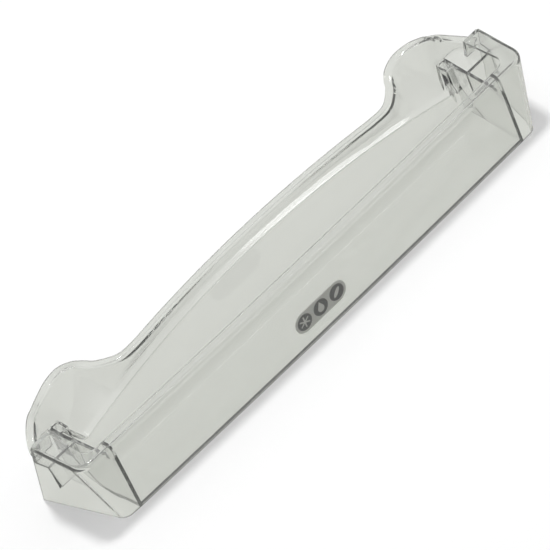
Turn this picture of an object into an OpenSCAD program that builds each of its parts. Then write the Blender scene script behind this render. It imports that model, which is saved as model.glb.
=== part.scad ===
// Fridge door shelf, moulded in one piece in clear plastic.
// Origin: middle of the length and depth, on the plane that the shelf rests on.
// X runs along the length, Y from the front wall to the back, Z up.

/* [Overall] */
// Length over the back corners of the end walls at the bottom
shelf_length = 453; // [440:1:480]
// Height of the front flange and the end lips above the resting plane
shelf_height = 62.5; // [59:0.5:72]
// Height of the lobes' peaks
lobe_height = 73; // [69:0.5:80]
// Depth of the lobes' outer edge
lobe_depth = 80.5; // [77:0.5:88]
// Thickness of every wall
wall = 2.4; // [1.8:0.1:2.6]

/* [Front wall] */
// Length between the front corners at the bottom
front_foot_length = 413; // [402:1:420]
// Length between the front corners at the top
front_top_length = 442; // [436:1:446]
// How far the middle of the front wall bows outwards
front_bow = 2; // [0:0.5:4]
// Depth of the flange along the top of the front wall
flange_depth = 8.5; // [7.5:0.5:11]
// Radius of the bend along the top of the front wall
bend_radius = 4.5; // [3:0.1:5.5]
// Radius of the bend along the top of the end walls
end_bend_radius = 2.8; // [2.7:0.1:4]
// Radius of the upright front corners at the top
corner_radius_top = 13; // [8:1:16]
// Radius of the upright front corners at the bottom
corner_radius_foot = 9; // [6:1:12]

/* [End boxes] */
// Length over the back corners of the end walls at the top
end_top_length = 448; // [444:1:452]
// Depth of the end walls at the bottom
end_foot_depth = 68; // [64:1:72]
// Depth of the end walls and their lips at the top
end_top_depth = 50.5; // [48:0.5:53]
// Distance between the inner edges of the two end lips
lip_gap_length = 415; // [412:1:418]
// Radius of the lip's inner corner
lip_corner_radius = 9; // [6:0.5:10]

/* [Tray] */
// Height of the floor's lower face above the walls' feet
floor_rise = 0.3; // [0.2:0.1:1]
// Depth at which the lower back wall's face would meet the resting plane
floor_depth = 45.5; // [43:0.5:47]
// Radius of the rounded heel between the floor and the lower back wall
heel_radius = 12; // [8:0.5:14]
// Distance between the inner end walls at the front
bay_front_length = 382; // [376:1:385]
// Distance between the inner end walls at the back
bay_back_length = 394; // [390:1:397]
// Depth of the inner end walls
bay_depth = 69; // [66:0.5:71]
// Height of the ledge that rests on the door's boss
boss_height = 46.5; // [44:0.5:48]
// Depth of the boss ledge's front edge
boss_front_depth = 41; // [34:1:44]
// Height of the lower edge of the ledge's front face
boss_skirt_height = 24; // [18:1:34]

/* [Back wall] */
// Depth of the rim in the middle of the back wall
waist_depth = 66.7; // [63:0.5:70]
// Radius of the long curve of the rim between the lobes
waist_radius = 840; // [700:10:1400]
// Width of the lip along the rim
rim_lip = 7; // [6:0.5:8]
// Radius of the bend between the back wall and its lip
rim_bend_radius = 3.2; // [2.7:0.1:3.6]
// Height of the arched step in the middle of the back wall
arch_height = 55; // [53:0.5:57]
// Radius of the arched step
arch_radius = 770; // [720:10:1600]
// Depth that the lower back wall leans back by up to the top of the arch
wall_lean = 9.5; // [7:0.5:11]
// Width of the arched step
step_width = 4.5; // [3.5:0.5:5.5]

/* [Catch] */
// Width of the catch under each lobe
catch_width = 8; // [6:0.5:10]
// Depth of the catch from front to back
catch_depth = 12; // [9:0.5:14]
// Height of the catch's lower edge
catch_foot_height = 22.5; // [16:0.5:30]
// Thickness of the catch's walls
catch_wall = 1.6; // [1.2:0.1:2]

/* [Hidden] */

// Steps along each rounded corner, each straight stretch, each bend and each bowl
corner_steps = 7;
run_steps = 9;
bend_steps = 4;
bowl_steps = 5;
curve_steps = 4;

// Half lengths that the mirrored outlines are written in
half_length = shelf_length / 2;
half_foot = front_foot_length / 2;
half_top = front_top_length / 2;
half_end_top = end_top_length / 2;
half_gap = lip_gap_length / 2;
half_bay_front = bay_front_length / 2;
half_bay_back = bay_back_length / 2;

// Rim from the waist round the lobe to the end wall: the share of the half length,
// the share of the lobes' depth, and the share of the lobes' rise above the flange,
// or, below nought, of the drop from the flange to a bend's height above the boss ledge
rim_shares = [
    [0.527, 0.728, 0], [0.589, 0.735, 0], [0.645, 0.851, 0.03], [0.670, 0.932, 0.20],
    [0.700, 0.986, 0.50], [0.750, 1, 0.86], [0.808, 0.963, 1], [0.857, 0.938, 0.71],
    [0.888, 0.944, 0.24], [0.920, 0.944, -0.197], [0.955, 0.882, -0.623],
    [0.982, 0.789, -0.861], [0.995, 0.715, -0.943]];
// Shares of the half length between which the bowl's foot lifts on to the boss ledge
lift_from_share = 0.81;
lift_to_share = 0.87;
// Share of the way from the bowl's foot to its rim at which its section bends
bowl_share = 0.62;
// Rise of the arched step across its width, as a share of that width
step_rise_share = 0.6;

// Overrun of joined solids into each other
joint = wall / 4;
// Height of the lower face of the boss ledge
ledge_under = boss_height - wall;
// Middle of the whole depth, from the bow of the front wall to the lobes
middle_depth = (lobe_depth - front_bow) / 2;

function unit(v) = v / norm(v);
function mix(a, b, f) = a + (b - a) * f;
// Smooth step from 0 to 1
function ease(f) = let (g = max(0, min(1, f))) g * g * (3 - 2 * g);

// Point at share f along the arc of radius r that rounds the corner c,
// between the legs that leave it in the directions a and b
function arc_point(c, a, b, r, f) =
    let (half = acos(a * b) / 2,
         centre = c + unit(a + b) * r / sin(half),
         from = c + a * r / tan(half) - centre,
         to = c + b * r / tan(half) - centre,
         sweep = 180 - 2 * half)
    centre + (from * sin((1 - f) * sweep) + to * sin(f * sweep)) / sin(sweep);

// Point at share f of the smooth curve from p[1] to p[2]
function curve_point(p, f) =
    (2 * p[1] + (p[2] - p[0]) * f + (2 * p[0] - 5 * p[1] + 4 * p[2] - p[3]) * f * f
     + (3 * p[1] - p[0] - 3 * p[2] + p[3]) * f * f * f) / 2;

// Smooth curve through every point of a list
function curve(p) =
    let (n = len(p))
    concat(
        [for (i = [0:n - 2])
            let (q = [p[max(i - 1, 0)], p[i], p[i + 1], p[min(i + 2, n - 1)]])
            for (k = [0:curve_steps - 1]) curve_point(q, k / curve_steps)],
        [p[n - 1]]);

// Both halves of an outline whose right half starts on the middle plane
function both_halves(h) = concat(
    [for (i = [len(h) - 1:-1:1]) [for (k = [0:len(h[i]) - 1]) k == 0 ? -h[i][0] : h[i][k]]], h);

// Upright normal of a path in plan at point i, pointing to the path's left
function left_normal(p, i) =
    let (d = p[min(i + 1, len(p) - 1)] - p[max(i - 1, 0)])
    unit([-d[1], d[0], 0]);

// Normal of a grid of points; columns listed in tears don't run on into the next column
// in their first rows
function grid_normal(g, i, j, tears) =
    let (n = len(g), m = len(g[0]),
         torn_after = [for (k = tears) if (k[0] == i && j < k[1]) k],
         torn_before = [for (k = tears) if (k[0] == i - 1 && j < k[1]) k],
         du = g[torn_after ? i : min(i + 1, n - 1)][j] - g[torn_before ? i : max(i - 1, 0)][j],
         dv = g[i][min(j + 1, m - 1)] - g[i][max(j - 1, 0)])
    unit(cross(du, dv));

// Solid sheet between a grid of points and the same grid moved back by t against its normals
module sheet(g, t, tears = []) {
    n = len(g);
    m = len(g[0]);
    h = [for (i = [0:n - 1]) [for (j = [0:m - 1]) g[i][j] - t * grid_normal(g, i, j, tears)]];
    points = concat([for (r = g) each r], [for (r = h) each r]);
    function at(side, i, j) = side * n * m + i * m + j;
    function two(a, b, c, d) = [[c, b, a], [d, c, a]];
    tops = [for (i = [0:n - 2]) for (j = [0:m - 2])
        each two(at(0, i, j), at(0, i + 1, j), at(0, i + 1, j + 1), at(0, i, j + 1))];
    unders = [for (i = [0:n - 2]) for (j = [0:m - 2])
        each two(at(1, i, j), at(1, i, j + 1), at(1, i + 1, j + 1), at(1, i + 1, j))];
    lows = [for (i = [0:n - 2])
        each two(at(0, i, 0), at(1, i, 0), at(1, i + 1, 0), at(0, i + 1, 0))];
    highs = [for (i = [0:n - 2])
        each two(at(0, i + 1, m - 1), at(1, i + 1, m - 1), at(1, i, m - 1), at(0, i, m - 1))];
    starts = [for (j = [0:m - 2])
        each two(at(0, 0, j + 1), at(1, 0, j + 1), at(1, 0, j), at(0, 0, j))];
    ends = [for (j = [0:m - 2])
        each two(at(0, n - 1, j), at(1, n - 1, j), at(1, n - 1, j + 1), at(0, n - 1, j + 1))];
    polyhedron(points, concat(tops, unders, lows, highs, starts, ends));
}

// Bow of the front wall at a distance x from the middle
function bow(x) = -front_bow * (1 - pow(min(abs(x) / half_foot, 1), 2));

// Right half of an outline round the front and one end: the front's bowed run,
// the corner, and the end; each point also holds its share of the way round the corner
function front_half(corner_x, front_y, back_x, back_y, r) =
    let (c = [corner_x, front_y],
         b = unit([back_x, back_y] - c),
         start = arc_point(c, [-1, 0], b, r, 0)[0])
    concat(
        [for (k = [0:run_steps - 1]) let (x = start * k / run_steps) [x, front_y + bow(x), 0]],
        [for (k = [0:corner_steps])
            let (p = arc_point(c, [-1, 0], b, r, k / corner_steps)) [p[0], p[1], k / corner_steps]],
        [[back_x, back_y, 1]]);

foot_line = both_halves(front_half(half_foot, 0, half_length, end_foot_depth, corner_radius_foot));
top_line = both_halves(front_half(half_top, 0, half_end_top, end_top_depth, corner_radius_top));
lip_line = both_halves(front_half(half_gap, flange_depth, half_gap, end_top_depth, lip_corner_radius));

// The front wall, the end walls and the flange along their tops, as one bent sheet
module front_and_ends() {
    skin = [for (i = [0:len(top_line) - 1])
        let (foot = [foot_line[i][0], foot_line[i][1], 0],
             top = [top_line[i][0], top_line[i][1], shelf_height],
             edge = [lip_line[i][0], lip_line[i][1], shelf_height],
             r = mix(bend_radius, end_bend_radius, top_line[i][2]))
        [foot,
         for (k = [0:bend_steps]) arc_point(top, unit(foot - top), unit(edge - top), r, k / bend_steps),
         edge]];
    sheet(skin, wall);
}

// Depth of the end walls' slanting back edge at a height z
function end_depth(z) = mix(end_foot_depth, end_top_depth, z / shelf_height);
// Half length over the end walls' back edges at a height z
function end_half(z) = mix(half_length, half_end_top, z / shelf_height);
// Distance of the inner end wall's tray side from the middle at a depth y
function bay_half(y) = mix(half_bay_front, half_bay_back, y / bay_depth);

// Upright post with a corner at x and y, as wide and deep as a wall is thick
module post(x, y, low, high) {
    translate([x, y, low]) cube([wall, wall, high - low]);
}

// Plate that closes the back of one end box, from the lip down to the boss ledge
module end_back_plate() {
    hull()
        for (z = [ledge_under, shelf_height - wall])
            translate([half_gap, end_depth(z) - wall, z])
                cube([end_half(z) - wall - half_gap, wall, wall]);
}

// Wall between the tray and one end box, with a gusset that carries it up to the flange
module inner_end_wall() {
    hull() {
        post(bay_half(joint), joint, 0, boss_height);
        post(bay_half(bay_depth), bay_depth - wall, 0, boss_height);
    }
    hull() {
        post(bay_half(joint), joint, ledge_under, shelf_height - bend_radius);
        post(bay_half(flange_depth), flange_depth - wall, ledge_under, shelf_height - joint);
    }
}

// Ledge over the door's boss, with the face in front of it
module boss_ledge() {
    in_x = bay_half(boss_front_depth);
    out_x = end_half(boss_height) - wall;
    front_w = out_x - in_x;
    back_y = end_depth(boss_height) - wall;
    hull() {
        translate([in_x, boss_front_depth, ledge_under]) cube([front_w, wall, wall]);
        translate([in_x, back_y, ledge_under]) cube([front_w, wall, wall]);
    }
    hull() {
        translate([in_x, back_y, ledge_under]) cube([front_w, wall, wall]);
        post(bay_half(bay_depth), bay_depth - wall, ledge_under, boss_height);
        post(mix(half_bay_back, half_end_top, 1 - bowl_share), bay_depth - wall, ledge_under, boss_height);
    }
    hull() {
        post(in_x, boss_front_depth, boss_skirt_height, boss_height);
        post(out_x - wall, boss_front_depth, boss_skirt_height, boss_height);
    }
}

// Catch that hangs under one lobe beside the inner end wall, shrunk by inset on four sides;
// its hollow starts below its lower edge and stops under its cap
module lobe_catch(inset, low, high) {
    in_x = bay_half(bay_depth) + joint - catch_width;
    translate([in_x + inset, bay_depth - catch_depth + inset, low])
        cube([catch_width - 2 * inset, catch_depth - 2 * inset, high - low]);
}

module catch_hollow() {
    lobe_catch(catch_wall, catch_foot_height - joint, boss_height - wall);
}

// Right half of the rim: a long shallow curve to the first control point, then the lobe
rim_points = [for (s = rim_shares)
    [s[0] * half_end_top, s[1] * lobe_depth,
     mix(shelf_height, s[2] < 0 ? boss_height + rim_bend_radius : lobe_height, abs(s[2]))]];
rim_half = concat(
    [for (k = [0:run_steps - 1]) let (x = rim_points[0][0] * k / run_steps)
        [x, waist_depth - x * x / (2 * waist_radius), shelf_height]],
    curve(rim_points));
// The whole rim runs from left to right, so the back lies on its left
rim_row = both_halves(rim_half);
bend_row = [for (i = [0:len(rim_row) - 1]) rim_row[i] - rim_lip * left_normal(rim_row, i)];

// Height of the arched step at a distance x from the middle
function arch_z(x) = arch_height - x * x / (2 * arch_radius);
// Depth of the leaning lower back wall at a height z
function wall_y(z) = floor_depth + wall_lean * z / arch_height;
// Depth and height at share f of the heel, from the floor's upper face to the lower back wall
function heel(f) =
    let (z = floor_rise + wall)
    arc_point([wall_y(z), z], [-1, 0], unit([wall_lean, arch_height]), heel_radius, f);
heel_row = [heel(0) - [wall, 0], for (k = [0:bend_steps]) heel(k / bend_steps)];

// Share by which the bowl's foot has lifted from the arched step to the boss ledge at station i
function lift(i) =
    ease((abs(bend_row[i][0]) / half_end_top - lift_from_share) / (lift_to_share - lift_from_share));
// Outer and inner edge of the arched step at station i
function step_foot(i) =
    let (x = bend_row[i][0], z = arch_z(x))
    [x, mix(wall_y(z) + step_width, bend_row[i][1] - joint, lift(i)), mix(z, boss_height - joint, lift(i))];
function step_edge(i) =
    let (foot = step_foot(i))
    [foot[0], mix(wall_y(arch_z(foot[0])), foot[1], lift(i)),
     foot[2] - mix(step_width * step_rise_share, joint, lift(i))];

// Whether station i lies between the outer faces of the two inner end walls
function in_bay(i) = abs(bend_row[i][0]) < half_bay_back + wall - joint / 2;

// Section of the back wall at station i: from the floor round the heel, up to the arched step,
// over it and up the bowl to the rim. Its lower part ends in the inner end walls, which stand
// closer together at the front; past them it starts in the boss ledge.
function back_section(i) =
    let (rim = rim_row[i],
         bend = bend_row[i],
         foot = step_foot(i),
         step = step_edge(i),
         low = in_bay(i)
             ? [for (h = heel_row) [bend[0] * (bay_half(h[0]) + wall) / (half_bay_back + wall), h[0], h[1]]]
             : [for (k = [len(heel_row):-1:1]) step - [0, 0, joint * k / len(heel_row)]],
         knee = [bend[0], mix(foot[1], bend[1], bowl_share), mix(foot[2], bend[2], 1 - bowl_share)],
         outward = unit(rim - bend),
         down = unit(knee - bend),
         turn = arc_point(bend, down, outward, rim_bend_radius, 0))
    [each low, step, foot,
     for (k = [1:bowl_steps - 1])
        let (f = k / bowl_steps) mix(mix(foot, knee, f), mix(knee, turn, f), f),
     for (k = [0:bend_steps]) arc_point(bend, down, outward, rim_bend_radius, k / bend_steps),
     rim];

module back_wall() {
    tears = [for (i = [0:len(rim_row) - 2]) if (in_bay(i) != in_bay(i + 1)) [i, len(heel_row)]];
    sheet([for (i = [0:len(rim_row) - 1]) back_section(i)], wall, tears);
}

// Floor of the tray; its front edge follows the bow of the front wall
module tray_floor() {
    front_x = bay_half(joint) + joint;
    back_y = heel(0)[0];
    back_x = bay_half(back_y) + joint;
    front = [for (k = [-run_steps:run_steps]) let (x = front_x * k / run_steps) [x, bow(x) + joint]];
    translate([0, 0, floor_rise])
        linear_extrude(wall)
            polygon(concat(front, [[back_x, back_y], [-back_x, back_y]]));
}

module end_parts() {
    end_back_plate();
    inner_end_wall();
    boss_ledge();
    lobe_catch(0, catch_foot_height, boss_height);
}

module door_shelf() {
    color([0.83, 0.84, 0.81, 0.5])
    translate([0, -middle_depth, 0])
    difference() {
        union() {
            front_and_ends();
            back_wall();
            tray_floor();
            end_parts();
            mirror([1, 0, 0]) end_parts();
        }
        catch_hollow();
        mirror([1, 0, 0]) catch_hollow();
    }
}

door_shelf();
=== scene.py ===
"""Clear plastic fridge door shelf on a pale studio floor.

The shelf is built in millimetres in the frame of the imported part: X along its length, Y from the front
wall to the back, Z up, with the origin in the middle of the plane that it stands on.
"""
import math

import bmesh
import bpy
import numpy as np
from mathutils import Matrix, Vector

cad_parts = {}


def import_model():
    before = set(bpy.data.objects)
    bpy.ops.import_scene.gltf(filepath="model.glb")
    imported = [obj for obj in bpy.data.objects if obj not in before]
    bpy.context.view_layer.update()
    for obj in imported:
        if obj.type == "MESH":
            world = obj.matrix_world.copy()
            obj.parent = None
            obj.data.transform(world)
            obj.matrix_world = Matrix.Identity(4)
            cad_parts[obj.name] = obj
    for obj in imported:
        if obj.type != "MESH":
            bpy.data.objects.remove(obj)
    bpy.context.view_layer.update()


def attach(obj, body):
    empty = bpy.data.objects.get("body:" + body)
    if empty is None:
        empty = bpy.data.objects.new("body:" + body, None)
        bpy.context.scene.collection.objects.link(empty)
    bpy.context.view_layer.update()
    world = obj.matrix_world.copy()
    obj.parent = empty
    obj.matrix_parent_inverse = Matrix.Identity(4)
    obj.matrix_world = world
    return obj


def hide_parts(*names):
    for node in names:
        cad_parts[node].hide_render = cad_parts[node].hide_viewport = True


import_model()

MM = 0.001

# Sizes of the shelf, in millimetres
SHELF_LENGTH, SHELF_HEIGHT = 453.0, 62.5
LOBE_HEIGHT, LOBE_DEPTH = 72.95, 80.5
WALL = 2.4
HALF_LENGTH = SHELF_LENGTH / 2
HALF_FOOT, HALF_TOP = 413 / 2, 442 / 2
FRONT_BOW = 2.0
FLANGE_DEPTH = 8.5
BEND_RADIUS, END_BEND_RADIUS = 4.5, 2.8
CORNER_RADIUS_TOP, CORNER_RADIUS_FOOT = 13.0, 9.0
HALF_END_TOP = 448 / 2
END_FOOT_DEPTH, END_TOP_DEPTH = 68.0, 50.5
HALF_GAP, LIP_CORNER_RADIUS = 415 / 2, 9.0
FLOOR_RISE, FLOOR_DEPTH, HEEL_RADIUS = 0.3, 45.5, 12.0
HALF_BAY_FRONT, HALF_BAY_BACK, BAY_DEPTH = 382 / 2, 394 / 2, 69.0
BOSS_HEIGHT, BOSS_FRONT_DEPTH, BOSS_SKIRT_HEIGHT = 46.5, 41.0, 24.0
WAIST_DEPTH, WAIST_RADIUS = 66.7, 840.0
RIM_LIP, RIM_BEND_RADIUS = 7.0, 3.2
ARCH_HEIGHT, ARCH_RADIUS = 55.0, 770.0
WALL_LEAN, STEP_WIDTH = 9.5, 4.5
CATCH_WIDTH, CATCH_DEPTH, CATCH_FOOT_HEIGHT, CATCH_WALL = 8.0, 12.0, 22.5, 1.6
# Points of a lobe's rim: shares of half the top's length, of its depth, and of its rise above the flange
RIM_SHARES = [
    (0.527, 0.728, 0), (0.589, 0.735, 0), (0.645, 0.851, 0.03), (0.670, 0.932, 0.20),
    (0.700, 0.986, 0.50), (0.750, 1, 0.86), (0.808, 0.963, 1), (0.857, 0.938, 0.71),
    (0.888, 0.944, 0.24), (0.920, 0.944, -0.24), (0.955, 0.882, -0.76),
    (0.982, 0.789, -1.05), (0.995, 0.715, -1.15)]
LIFT_FROM, LIFT_TO = 0.81, 0.87
BOWL_SHARE = 0.62
STEP_RISE = 0.6
JOINT = WALL / 4
LEDGE_UNDER = BOSS_HEIGHT - WALL
MIDDLE_DEPTH = (LOBE_DEPTH - FRONT_BOW) / 2
TO_FRAME = Matrix.Scale(MM, 4) @ Matrix.Translation((0, -MIDDLE_DEPTH, 0))

# Fineness of the sheets, and the rounding of their folds and edges
CORNER_STEPS, RUN_STEPS, END_STEPS = 18, 20, 10
BEND_STEPS, BOWL_STEPS, CURVE_STEPS, HEEL_STEPS, LOWER_ROWS = 8, 12, 9, 8, 17
RISE_ROWS, FLAT_ROWS = 4, 2
FOLD_RADIUS, FOLD_STEPS, FOLD_REACH, FOLD_FLAT = 1.6, 4, 0.45, -0.999
EDGE_RADIUS, EDGE_STEPS, END_TURNS = 0.55, 3, (18, 42, 66, 90)
BEVEL, BEVEL_SEGMENTS, BEVEL_ANGLE, FLAT_ANGLE = 0.35, 2, 20, 1
SMOOTH_ANGLE, NORMAL_WEIGHT = 32, 60

# Printed bar with three discs, each with a motif: places and sizes in millimetres, angles in degrees
PRINT_PLACE, PRINT_LENGTH, PRINT_HEIGHT = (-8.6, 21.9), 48.8, 17.0
PRINT_PITCH, DISC_RADIUS = 15.8, 6.5
PRINT_FILM, PRINT_LAYER, PRINT_COVER = 0.02, 0.04, 0.06
FLAKE_LENGTH, FLAKE_WIDTH, FLAKE_ANGLES, FLAKE_STAGGER = 9.4, 1.2, (30, 90, 150), 0.012
DROP_RADIUS, DROP_SINK, DROP_TIP, DROP_SWEEP = 2.9, 1.1, 4.9, (150, 390)
LEAF_HALF_LENGTH, LEAF_HALF_WIDTH = 3.096, 1.19
PILL_STEPS, DISC_STEPS, DROP_STEPS, LEAF_STEPS = 25, 48, 33, 17

# Colours of the plastic and of the print, and the painted shade that the floor glows behind the plastic
PLASTIC = (0.97, 0.975, 0.96, 1)
BAR_GREY = (0.82, 0.825, 0.80, 1)
DISC_GREY = (0.10, 0.10, 0.105, 1)
# Painted shade: the floor glows this even pale grey-green wherever it is seen through the plastic. It stands
# in for the shade under the plastic, together with the plastic's tint.
PAINTED_SHADE_BEHIND = (0.72, 0.73, 0.69, 1)
PLASTIC_ROUGHNESS, PLASTIC_IOR, PLASTIC_CLEARNESS = 0.03, 1.5, 0.92
PLASTIC_TINT, PLASTIC_DENSITY = (0.50, 0.52, 0.51, 1), 24.0
INK_ROUGHNESS = 0.6
FLOOR_WHITE = (0.95, 0.95, 0.95, 1)
WHITE = (1, 1, 1, 1)
# Shares of glow in the floor: BEHIND_GLOW for the painted shade behind the plastic, FLOOR_GLOW for the white
# that the camera sees
BEHIND_GLOW, FLOOR_GLOW = 0.92, 0.3

# Studio, in metres, watts and degrees
DOME_RISE, DOME_LEVELS = (0.1, 0.75), (0.02, 0.62)
FLOOR_HALF, FLOOR_DROP = 20, 0.0002
KEY_PLACE, KEY_SIZE, KEY_POWER = (0.16, 0.28, 2.6), (0.35, 0.35), 38
STRIP_PLACE, STRIP_SIZE, STRIP_POWER = (0.8, -0.6, 2.15), (2.8, 0.06), 2.6
CAMERA_PLACE, CAMERA_AIM = (-0.91506, -1.79840, 1.83560), (-0.00979, -0.00090, 0.03440)
CAMERA_LENS, CAMERA_SENSOR, CAMERA_ROLL = 257.42, 36.0, 24.794
CAMERA_CLIP = (0.05, 60)


# Curves and sheets
def unit(v):
    return v / np.linalg.norm(v)


def mix(a, b, f):
    return a + (b - a) * f


def ease(f):
    g = min(max(f, 0.0), 1.0)
    return g * g * (3 - 2 * g)


def arc_point(c, a, b, r, f):
    """Point at share f of the arc of radius r that rounds the corner c between the directions a and b."""
    half = math.acos(max(-1.0, min(1.0, float(a @ b)))) / 2
    centre = c + unit(a + b) * r / math.sin(half)
    start = c + a * r / math.tan(half) - centre
    end = c + b * r / math.tan(half) - centre
    sweep = math.pi - 2 * half
    return centre + (start * math.sin((1 - f) * sweep) + end * math.sin(f * sweep)) / math.sin(sweep)


def fold(p, q, s, r):
    """Points that round the fold at q between p and s."""
    a, b = unit(p - q), unit(s - q)
    reach = FOLD_REACH * min(np.linalg.norm(p - q), np.linalg.norm(s - q))
    if a @ b < FOLD_FLAT:
        return [mix(q + a * reach, q + b * reach, k / FOLD_STEPS) for k in range(FOLD_STEPS + 1)]
    half = math.acos(float(a @ b)) / 2
    r = min(r, reach * math.tan(half))
    return [arc_point(q, a, b, r, k / FOLD_STEPS) for k in range(FOLD_STEPS + 1)]


def curve(points):
    """Smooth curve through every point."""
    p = [np.array(q, float) for q in points]
    n, out = len(p), []
    for i in range(n - 1):
        a, b, c, d = p[max(i - 1, 0)], p[i], p[i + 1], p[min(i + 2, n - 1)]
        for k in range(CURVE_STEPS):
            f = k / CURVE_STEPS
            out.append((2 * b + (c - a) * f + (2 * a - 5 * b + 4 * c - d) * f * f
                        + (3 * b - a - 3 * c + d) * f ** 3) / 2)
    return out + [p[-1]]


def both_halves(half):
    """Both halves of an outline whose right half starts on the middle plane."""
    mirrored = [p * np.array([-1.0] + [1.0] * (len(p) - 1)) for p in half[:0:-1]]
    return mirrored + half


def sheet(grid, t, r, breaks=(), break_rows=0):
    """Closed sheet of thickness t under a grid of points, with all its edges rounded by r.

    Between the stations i and i + 1 of breaks the first rows don't run on.
    """
    g = np.array(grid, float)
    n, m = g.shape[:2]
    du = g[[min(i + 1, n - 1) for i in range(n)]] - g[[max(i - 1, 0) for i in range(n)]]
    for i in breaks:
        du[i, :break_rows] = (g[i] - g[i - 1])[:break_rows]
        du[i + 1, :break_rows] = (g[i + 2] - g[i + 1])[:break_rows]
    dv = g[:, [min(j + 1, m - 1) for j in range(m)]] - g[:, [max(j - 1, 0) for j in range(m)]]
    depth = -np.cross(du, dv)
    depth /= np.linalg.norm(depth, axis=2, keepdims=True)
    angles = [math.pi / 2 * k / EDGE_STEPS for k in range(EDGE_STEPS + 1)]

    def ring(p, dep, inset):
        rr = r - inset
        low, high = unit(p[0] - p[1]), unit(p[-1] - p[-2])
        outer_low, outer_high = p[0] - low * r + dep[0] * r, p[-1] - high * r + dep[-1] * r
        inner_low = p[0] - low * r + dep[0] * (t - r)
        inner_high = p[-1] - high * r + dep[-1] * (t - r)
        pts = [outer_low + rr * (low * math.sin(a) - dep[0] * math.cos(a)) for a in reversed(angles)]
        pts += [p[j] + dep[j] * inset for j in range(1, m - 1)]
        pts += [outer_high + rr * (high * math.sin(a) - dep[-1] * math.cos(a)) for a in angles]
        pts += [inner_high + rr * (high * math.sin(a) + dep[-1] * math.cos(a)) for a in reversed(angles)]
        pts += [p[j] + dep[j] * (t - inset) for j in range(m - 2, 0, -1)]
        pts += [inner_low + rr * (low * math.sin(a) + dep[0] * math.cos(a)) for a in angles]
        return pts

    turns = [math.radians(a) for a in END_TURNS]
    rings = []
    for i, j, order in ((0, 1, turns), (n - 1, n - 2, turns[::-1])):
        out = g[i] - g[j]
        out /= np.linalg.norm(out, axis=1, keepdims=True)
        ends = [ring(g[i] - out * (r - r * math.cos(b)), depth[i], r - r * math.sin(b)) for b in order]
        if i == 0:
            rings = ends + [ring(g[k], depth[k], 0.0) for k in range(1, n - 1)]
        else:
            rings += ends
    size = len(rings[0])
    verts = [v for q in rings for v in q]
    faces = [(a * size + k, a * size + (k + 1) % size, (a + 1) * size + (k + 1) % size, (a + 1) * size + k)
             for a in range(len(rings) - 1) for k in range(size)]
    for base in (0, (len(rings) - 1) * size):
        faces += [(base + k, base + k + 1, base + size - 2 - k, base + size - 1 - k)
                  for k in range(size // 2 - 1)]
    return verts, faces


# Front wall, end walls and flange
def bow(x):
    return -FRONT_BOW * (1 - min(abs(x) / HALF_FOOT, 1) ** 2)


def front_half(corner_x, front_y, back_x, back_y, r):
    """Right half of an outline round the front and one end, with the share of the way round its corner."""
    c = np.array([corner_x, front_y])
    back = np.array([back_x, back_y], float)
    a, b = np.array([-1.0, 0.0]), unit(back - c)
    start = arc_point(c, a, b, r, 0)[0]
    run = [np.array([x, front_y + bow(x), 0.0]) for x in np.linspace(0, start, RUN_STEPS, endpoint=False)]
    turn = [np.append(arc_point(c, a, b, r, k / CORNER_STEPS), k / CORNER_STEPS)
            for k in range(CORNER_STEPS + 1)]
    end = [np.append(mix(turn[-1][:2], back, k / END_STEPS), 1.0) for k in range(1, END_STEPS + 1)]
    return run + turn + end


def front_and_ends():
    foot = both_halves(front_half(HALF_FOOT, 0, HALF_LENGTH, END_FOOT_DEPTH, CORNER_RADIUS_FOOT))
    top = both_halves(front_half(HALF_TOP, 0, HALF_END_TOP, END_TOP_DEPTH, CORNER_RADIUS_TOP))
    lip = both_halves(front_half(HALF_GAP, FLANGE_DEPTH, HALF_GAP, END_TOP_DEPTH, LIP_CORNER_RADIUS))
    skin = []
    for f, t, e in zip(foot, top, lip):
        low = np.array([f[0], f[1], 0.0])
        corner = np.array([t[0], t[1], SHELF_HEIGHT])
        edge = np.array([e[0], e[1], SHELF_HEIGHT])
        r = mix(BEND_RADIUS, END_BEND_RADIUS, t[2])
        bend = [arc_point(corner, unit(low - corner), unit(edge - corner), r, k / BEND_STEPS)
                for k in range(BEND_STEPS + 1)]
        rise = [mix(low, bend[0], k / RISE_ROWS) for k in range(RISE_ROWS)]
        flat = [mix(bend[-1], edge, k / FLAT_ROWS) for k in range(1, FLAT_ROWS + 1)]
        skin.append(rise + bend + flat)
    return sheet(skin, WALL, EDGE_RADIUS)


def end_depth(z):
    return mix(END_FOOT_DEPTH, END_TOP_DEPTH, z / SHELF_HEIGHT)


def end_half(z):
    return mix(HALF_LENGTH, HALF_END_TOP, z / SHELF_HEIGHT)


def bay_half(y):
    return mix(HALF_BAY_FRONT, HALF_BAY_BACK, y / BAY_DEPTH)


# Back wall with its lobes
def arch_z(x):
    return ARCH_HEIGHT - x * x / (2 * ARCH_RADIUS)


def wall_y(z):
    return FLOOR_DEPTH + WALL_LEAN * z / ARCH_HEIGHT


def heel(f):
    """Depth and height at share f of the heel, from the floor's upper face to the lower back wall."""
    z = FLOOR_RISE + WALL
    return arc_point(np.array([wall_y(z), z]), np.array([-1.0, 0.0]),
                     unit(np.array([WALL_LEAN, ARCH_HEIGHT])), HEEL_RADIUS, f)


def step_points(bend):
    """Outer and inner edge of the arched step below a point of the rim's bend."""
    x = abs(bend[0])
    lift = ease((x / HALF_END_TOP - LIFT_FROM) / (LIFT_TO - LIFT_FROM))
    z = arch_z(x)
    foot = np.array([bend[0], mix(wall_y(z) + STEP_WIDTH, bend[1] - JOINT, lift),
                     mix(z, BOSS_HEIGHT - JOINT, lift)])
    edge = np.array([bend[0], mix(wall_y(z), foot[1], lift),
                     foot[2] - mix(STEP_WIDTH * STEP_RISE, JOINT, lift)])
    return foot, edge


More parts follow.
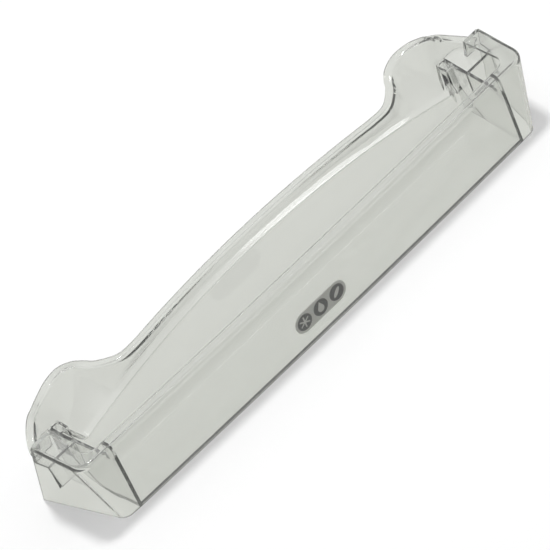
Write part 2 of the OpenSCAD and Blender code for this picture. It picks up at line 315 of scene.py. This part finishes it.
def lower_rows(bend, edge):
    """Rows from the floor round the heel up to the arched step, or a short stretch in the boss ledge."""
    if abs(bend[0]) >= HALF_BAY_BACK + WALL - JOINT / 2:
        return [edge - np.array([0.0, 0.0, JOINT * (1 - k / LOWER_ROWS)]) for k in range(LOWER_ROWS)]
    heels = [heel(k / HEEL_STEPS) for k in range(HEEL_STEPS + 1)]
    rows = [heels[0] - np.array([WALL, 0.0]), heels[0] - np.array([WALL / 2, 0.0])] + heels
    rows = [np.array([bend[0] * (bay_half(y) + WALL) / (HALF_BAY_BACK + WALL), y, z]) for y, z in rows]
    rise = LOWER_ROWS - len(rows) + 1
    return rows + [mix(rows[-1], edge, k / rise) for k in range(1, rise)]


def back_section(rim, bend):
    """Section of the back wall, up from the floor, over the arched step and up the bowl to the rim."""
    foot, edge = step_points(bend)
    lower = lower_rows(bend, edge)
    knee = np.array([bend[0], mix(foot[1], bend[1], BOWL_SHARE), mix(foot[2], bend[2], 1 - BOWL_SHARE)])
    outward, down = unit(rim - bend), unit(knee - bend)
    turn = arc_point(bend, down, outward, RIM_BEND_RADIUS, 0)
    bowl = []
    for k in range(1, BOWL_STEPS):
        f = k / BOWL_STEPS
        bowl.append(mix(mix(foot, knee, f), mix(knee, turn, f), f))
    folds = fold(lower[-1], edge, foot, FOLD_RADIUS) + fold(edge, foot, bowl[1], FOLD_RADIUS)
    lip = [arc_point(bend, down, outward, RIM_BEND_RADIUS, k / BEND_STEPS) for k in range(BEND_STEPS + 1)]
    return lower + folds + bowl[1:] + lip + [mix(lip[-1], rim, 0.5), rim]


def back_wall():
    points = [(s[0] * HALF_END_TOP, s[1] * LOBE_DEPTH, mix(SHELF_HEIGHT, LOBE_HEIGHT, s[2]))
              for s in RIM_SHARES]
    waist = [np.array([x, WAIST_DEPTH - x * x / (2 * WAIST_RADIUS), SHELF_HEIGHT])
             for x in np.linspace(0, points[0][0], 2 * RUN_STEPS, endpoint=False)]
    rim = both_halves(waist + curve(points))
    n = len(rim)
    bends = []
    for i in range(n):
        d = rim[min(i + 1, n - 1)] - rim[max(i - 1, 0)]
        bends.append(rim[i] - RIM_LIP * unit(np.array([-d[1], d[0], 0.0])))
    inside = [abs(b[0]) < HALF_BAY_BACK + WALL - JOINT / 2 for b in bends]
    breaks = [i for i in range(n - 1) if inside[i] != inside[i + 1]]
    return sheet([back_section(r, b) for r, b in zip(rim, bends)], WALL, EDGE_RADIUS, breaks, LOWER_ROWS)


# Convex and extruded parts
def round_edges(bm, edges, bevel):
    bmesh.ops.bevel(bm, geom=edges, offset=bevel, segments=BEVEL_SEGMENTS, profile=0.5, affect="EDGES")


def extrude(bm, outline, direction):
    """Solid from a flat outline, swept along a direction."""
    face = bm.faces.new([bm.verts.new(p) for p in outline])
    swept = bmesh.ops.extrude_face_region(bm, geom=[face])["geom"]
    bmesh.ops.translate(bm, vec=direction, verts=[v for v in swept if isinstance(v, bmesh.types.BMVert)])


def hull_object(name, points, bevel):
    """Convex solid round some points, with its edges rounded by bevel."""
    bm = bmesh.new()
    for p in points:
        bm.verts.new(p)
    bmesh.ops.convex_hull(bm, input=bm.verts)
    bmesh.ops.dissolve_limit(bm, angle_limit=math.radians(FLAT_ANGLE), verts=bm.verts, edges=bm.edges)
    if bevel:
        round_edges(bm, bm.edges[:], bevel)
    return bm_object(name, bm)


def prism_object(name, outline, low, high, bevel):
    """Solid between two heights over an outline, with its edges rounded by bevel."""
    bm = bmesh.new()
    extrude(bm, [(x, y, low) for x, y in outline], (0, 0, high - low))
    bmesh.ops.recalc_face_normals(bm, faces=bm.faces)
    if bevel:
        round_edges(bm, [e for e in bm.edges if e.calc_face_angle(0) > math.radians(BEVEL_ANGLE)], bevel)
    return bm_object(name, bm)


def bm_object(name, bm):
    bmesh.ops.recalc_face_normals(bm, faces=bm.faces)
    mesh = bpy.data.meshes.new(name)
    bm.to_mesh(mesh)
    bm.free()
    obj = bpy.data.objects.new(name, mesh)
    bpy.context.scene.collection.objects.link(obj)
    return obj


def mesh_object(name, verts, faces):
    bm = bmesh.new()
    made = [bm.verts.new(v) for v in verts]
    for f in faces:
        bm.faces.new([made[i] for i in f])
    return bm_object(name, bm)


def block(low, high):
    return [(x, y, z) for x in (low[0], high[0]) for y in (low[1], high[1]) for z in (low[2], high[2])]


def post(x, y, low, high):
    return block((x, y, low), (x + WALL, y + WALL, high))


def end_parts():
    """The solids of the right end box, and the hollow of its catch."""
    depth_low, depth_high = end_depth(LEDGE_UNDER), end_depth(SHELF_HEIGHT - WALL)
    plate = [p for z, d in ((LEDGE_UNDER, depth_low), (SHELF_HEIGHT - WALL, depth_high))
             for p in block((HALF_GAP, d - WALL, z), (end_half(z) - WALL, d, z + WALL))]
    wall = (post(bay_half(JOINT), JOINT, 0, BOSS_HEIGHT)
            + post(bay_half(BAY_DEPTH), BAY_DEPTH - WALL, 0, BOSS_HEIGHT))
    gusset = (post(bay_half(JOINT), JOINT, LEDGE_UNDER, SHELF_HEIGHT - BEND_RADIUS)
              + post(bay_half(FLANGE_DEPTH), FLANGE_DEPTH - WALL, LEDGE_UNDER, SHELF_HEIGHT - JOINT))
    in_x, out_x = bay_half(BOSS_FRONT_DEPTH), end_half(BOSS_HEIGHT) - WALL
    back_y = end_depth(BOSS_HEIGHT)
    far_x = mix(HALF_BAY_BACK, HALF_END_TOP, 1 - BOWL_SHARE) + WALL
    ledge = [(in_x, BOSS_FRONT_DEPTH), (out_x, BOSS_FRONT_DEPTH), (out_x, back_y), (far_x, BAY_DEPTH),
             (bay_half(BAY_DEPTH), BAY_DEPTH), (in_x, back_y)]
    skirt = block((in_x, BOSS_FRONT_DEPTH, BOSS_SKIRT_HEIGHT), (out_x, BOSS_FRONT_DEPTH + WALL, BOSS_HEIGHT))
    catch_x = bay_half(BAY_DEPTH) + JOINT - CATCH_WIDTH
    catch_y = BAY_DEPTH - CATCH_DEPTH
    catch = block((catch_x, catch_y, CATCH_FOOT_HEIGHT),
                  (catch_x + CATCH_WIDTH, catch_y + CATCH_DEPTH, BOSS_HEIGHT))
    hollow = block((catch_x + CATCH_WALL, catch_y + CATCH_WALL, CATCH_FOOT_HEIGHT - JOINT),
                   (catch_x + CATCH_WIDTH - CATCH_WALL, catch_y + CATCH_DEPTH - CATCH_WALL,
                    BOSS_HEIGHT - WALL))
    solids = [hull_object("plate", plate, BEVEL), hull_object("inner_wall", wall, BEVEL),
              hull_object("gusset", gusset, BEVEL),
              prism_object("ledge", ledge, LEDGE_UNDER, BOSS_HEIGHT, BEVEL),
              hull_object("skirt", skirt, BEVEL), hull_object("catch", catch, BEVEL)]
    return solids, hull_object("hollow", hollow, 0)


def tray_floor():
    back_y = heel(0)[0]
    front_x, back_x = bay_half(JOINT) + JOINT, bay_half(back_y) + JOINT
    front = [(x, bow(x) + JOINT) for x in np.linspace(-front_x, front_x, 4 * RUN_STEPS + 1)]
    outline = front + [(back_x, back_y), (-back_x, back_y)]
    return prism_object("floor", outline, FLOOR_RISE, FLOOR_RISE + WALL, 0)


def mirrored(obj):
    copy = obj.copy()
    copy.data = obj.data.copy()
    copy.data.transform(Matrix.Scale(-1, 4, Vector((1, 0, 0))))
    copy.data.flip_normals()
    bpy.context.scene.collection.objects.link(copy)
    return copy


def combine(base, tool, operation):
    """Cuts tool from base or joins it to base, and removes tool."""
    mod = base.modifiers.new("combine", "BOOLEAN")
    mod.operation, mod.object, mod.solver = operation, tool, "MANIFOLD"
    dg = bpy.context.evaluated_depsgraph_get()
    done = bpy.data.meshes.new_from_object(base.evaluated_get(dg), depsgraph=dg)
    base.modifiers.clear()
    base.data = done
    bpy.data.objects.remove(tool)


def build_shelf():
    shelf = mesh_object("shelf_body", *front_and_ends())
    solids, hollow = end_parts()
    solids += [mirrored(s) for s in solids]
    hollows = [hollow, mirrored(hollow)]
    for tool in [mesh_object("back", *back_wall()), tray_floor()] + solids:
        combine(shelf, tool, "UNION")
    for tool in hollows:
        combine(shelf, tool, "DIFFERENCE")
    shelf.data.transform(TO_FRAME)
    shelf.data.shade_smooth()
    shelf.data.set_sharp_from_angle(angle=math.radians(SMOOTH_ANGLE))
    weight = shelf.modifiers.new("weighted", "WEIGHTED_NORMAL")
    weight.mode, weight.keep_sharp, weight.weight = "FACE_AREA_WITH_ANGLE", True, NORMAL_WEIGHT
    return shelf


# Materials
def clear_plastic():
    mat = bpy.data.materials.new("clear_plastic")
    mat.use_nodes = True
    shader = mat.node_tree.nodes["Principled BSDF"]
    shader.inputs["Base Color"].default_value = PLASTIC
    shader.inputs["Roughness"].default_value = PLASTIC_ROUGHNESS
    shader.inputs["IOR"].default_value = PLASTIC_IOR
    shader.inputs["Transmission Weight"].default_value = PLASTIC_CLEARNESS
    absorb = mat.node_tree.nodes.new("ShaderNodeVolumeAbsorption")
    absorb.inputs["Color"].default_value = PLASTIC_TINT
    absorb.inputs["Density"].default_value = PLASTIC_DENSITY
    out = mat.node_tree.nodes["Material Output"]
    mat.node_tree.links.new(absorb.outputs["Volume"], out.inputs["Volume"])
    return mat


def print_ink(name, colour):
    mat = bpy.data.materials.new(name)
    mat.use_nodes = True
    shader = mat.node_tree.nodes["Principled BSDF"]
    shader.inputs["Base Color"].default_value = colour
    shader.inputs["Roughness"].default_value = INK_ROUGHNESS
    return mat


def mix_node(nodes, links, factor, off, on):
    """Value that is off where factor is 0 and on where it is 1."""
    made = nodes.new("ShaderNodeMapRange")
    made.inputs["To Min"].default_value = off
    made.inputs["To Max"].default_value = on
    links.new(factor, made.inputs["Value"])
    return made.outputs["Result"]


def floor_material():
    """White where the camera sees it, with the shadow kept, and glowing pale grey behind the plastic as
    painted shade for the shade and tint seen through the plastic.
    """
    mat = bpy.data.materials.new("studio_floor")
    mat.use_nodes = True
    nodes, links = mat.node_tree.nodes, mat.node_tree.links
    nodes.clear()
    out = nodes.new("ShaderNodeOutputMaterial")
    path = nodes.new("ShaderNodeLightPath")
    seen = path.outputs["Is Camera Ray"]
    diffuse = nodes.new("ShaderNodeBsdfDiffuse")
    diffuse.inputs["Color"].default_value = FLOOR_WHITE
    # Painted shade: pale grey-green glow for rays that come through the plastic or off it, white for the
    # camera
    shade_or_white = nodes.new("ShaderNodeMix")
    shade_or_white.data_type = "RGBA"
    shade_or_white.inputs["A"].default_value = PAINTED_SHADE_BEHIND
    shade_or_white.inputs["B"].default_value = WHITE
    links.new(seen, shade_or_white.inputs["Factor"])
    glow = nodes.new("ShaderNodeEmission")
    links.new(shade_or_white.outputs["Result"], glow.inputs["Color"])
    both = nodes.new("ShaderNodeMixShader")
    links.new(mix_node(nodes, links, seen, BEHIND_GLOW, FLOOR_GLOW), both.inputs["Fac"])
    links.new(diffuse.outputs[0], both.inputs[1])
    links.new(glow.outputs[0], both.inputs[2])
    links.new(both.outputs[0], out.inputs["Surface"])
    return mat


# Printed pictograms
def flat_print(name, outline, depth, colour):
    """Thin closed film over an outline in X and Z, just under the outer face of the front wall."""
    bm = bmesh.new()
    extrude(bm, [(x, depth, z) for x, z in outline], (0, PRINT_FILM, 0))
    obj = bm_object(name, bm)
    obj.data.transform(TO_FRAME)
    obj.data.materials.append(print_ink(name, colour))
    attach(obj, "root")


def round_points(x, z, r, angles):
    """Points of a circle round a middle point, at some angles in radians."""
    return [(x + r * math.cos(a), z + r * math.sin(a)) for a in angles]


def bar(x, z, length, width, angle):
    """Outline of a bar round a middle point, turned by an angle in degrees."""
    c, s = math.cos(math.radians(angle)), math.sin(math.radians(angle))
    u, v = length / 2, width / 2
    return [(x + a * c - b * s, z + a * s + b * c) for a, b in ((-u, -v), (u, -v), (u, v), (-u, v))]


def pictograms():
    """Grey bar with three dark discs, which hold a snowflake, a drop and a leaf."""
    x, z = PRINT_PLACE
    half, r = PRINT_LENGTH / 2, PRINT_HEIGHT / 2
    pill = []
    for side in (1, -1):
        pill += [(x + side * (half - r + r * math.cos(a)), z + side * r * math.sin(a))
                 for a in np.linspace(-math.pi / 2, math.pi / 2, PILL_STEPS)]
    top = -FRONT_BOW + PRINT_COVER
    flat_print("print_bar", pill, top + 3 * PRINT_LAYER, BAR_GREY)
    left, right = x - PRINT_PITCH, x + PRINT_PITCH
    whole_turn = [math.tau * k / DISC_STEPS for k in range(DISC_STEPS)]
    for k, px in enumerate((left, x, right)):
        disc = round_points(px, z, DISC_RADIUS, whole_turn)
        flat_print(f"print_disc_{k + 1}", disc, top + 2 * PRINT_LAYER, DISC_GREY)
    for k, angle in enumerate(FLAKE_ANGLES):
        arm = bar(left, z, FLAKE_LENGTH, FLAKE_WIDTH, angle)
        flat_print(f"print_flake_{k + 1}", arm, top + PRINT_LAYER - FLAKE_STAGGER * k, BAR_GREY)
    sweep = np.linspace(*np.radians(DROP_SWEEP), DROP_STEPS)
    drop = round_points(x, z - DROP_SINK, DROP_RADIUS, sweep) + [(x, z + DROP_TIP)]
    flat_print("print_drop", drop, top + PRINT_LAYER, BAR_GREY)
    leaf = []
    for side in (1, -1):
        leaf += [(right + side * (LEAF_HALF_LENGTH * math.cos(a) - LEAF_HALF_WIDTH * math.sin(a)),
                  z + side * (LEAF_HALF_LENGTH * math.cos(a) + LEAF_HALF_WIDTH * math.sin(a)))
                 for a in np.linspace(0, math.pi, LEAF_STEPS, endpoint=False)]
    flat_print("print_leaf", leaf, top + PRINT_LAYER, BAR_GREY)


# Floor, lights, camera
def floor():
    mesh = bpy.data.meshes.new("studio_floor")
    h = FLOOR_HALF
    mesh.from_pydata([(-h, -h, 0), (h, -h, 0), (h, h, 0), (-h, h, 0)], [], [(0, 1, 2, 3)])
    obj = bpy.data.objects.new("studio_floor", mesh)
    obj.data.materials.append(floor_material())
    bpy.context.scene.collection.objects.link(obj)
    obj.location.z = -FLOOR_DROP


def area_light(name, place, size, power):
    """Oblong light that faces the shelf, with its long side along the shelf."""
    light = bpy.data.lights.new(name, "AREA")
    light.shape, light.size, light.size_y, light.energy = "RECTANGLE", size[0], size[1], power
    obj = bpy.data.objects.new(name, light)
    back = Vector(place).normalized()
    up = back.cross(Vector((1, 0, 0))).normalized()
    turn = Matrix((up.cross(back), up, back)).transposed()
    obj.matrix_world = Matrix.Translation(place) @ turn.to_4x4()
    bpy.context.scene.collection.objects.link(obj)


def world():
    """Pale studio dome that darkens towards the horizon, so that bent edges stand out."""
    made = bpy.data.worlds.new("studio")
    bpy.context.scene.world = made
    made.use_nodes = True
    nodes, links = made.node_tree.nodes, made.node_tree.links
    place = nodes.new("ShaderNodeTexCoord")
    parts = nodes.new("ShaderNodeSeparateXYZ")
    links.new(place.outputs["Generated"], parts.inputs["Vector"])
    rise = nodes.new("ShaderNodeMapRange")
    rise.interpolation_type = "SMOOTHSTEP"
    rise.inputs["From Min"].default_value, rise.inputs["From Max"].default_value = DOME_RISE
    rise.inputs["To Min"].default_value, rise.inputs["To Max"].default_value = DOME_LEVELS
    links.new(parts.outputs["Z"], rise.inputs["Value"])
    links.new(rise.outputs["Result"], nodes["Background"].inputs["Strength"])
    nodes["Background"].inputs["Color"].default_value = WHITE


def camera():
    data = bpy.data.cameras.new("camera")
    data.lens, data.sensor_width = CAMERA_LENS, CAMERA_SENSOR
    data.clip_start, data.clip_end = CAMERA_CLIP
    obj = bpy.data.objects.new("camera", data)
    place = Vector(CAMERA_PLACE)
    look = (Vector(CAMERA_AIM) - place).normalized()
    right = look.cross(Vector((0, 0, 1))).normalized()
    up = right.cross(look)
    roll = math.radians(CAMERA_ROLL)
    tilted_up = up * math.cos(roll) + right * math.sin(roll)
    tilted_right = right * math.cos(roll) - up * math.sin(roll)
    turn = Matrix((tilted_right, tilted_up, -look)).transposed()
    obj.matrix_world = Matrix.Translation(place) @ turn.to_4x4()
    bpy.context.scene.collection.objects.link(obj)
    bpy.context.scene.camera = obj


shelf = build_shelf()
shelf.data.materials.clear()
shelf.data.materials.append(clear_plastic())
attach(shelf, "root")
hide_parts("door_shelf")

pictograms()
floor()
world()
area_light("key", KEY_PLACE, KEY_SIZE, KEY_POWER)
area_light("top", STRIP_PLACE, STRIP_SIZE, STRIP_POWER)
camera()
bpy.context.scene.view_settings.view_transform = "Standard"
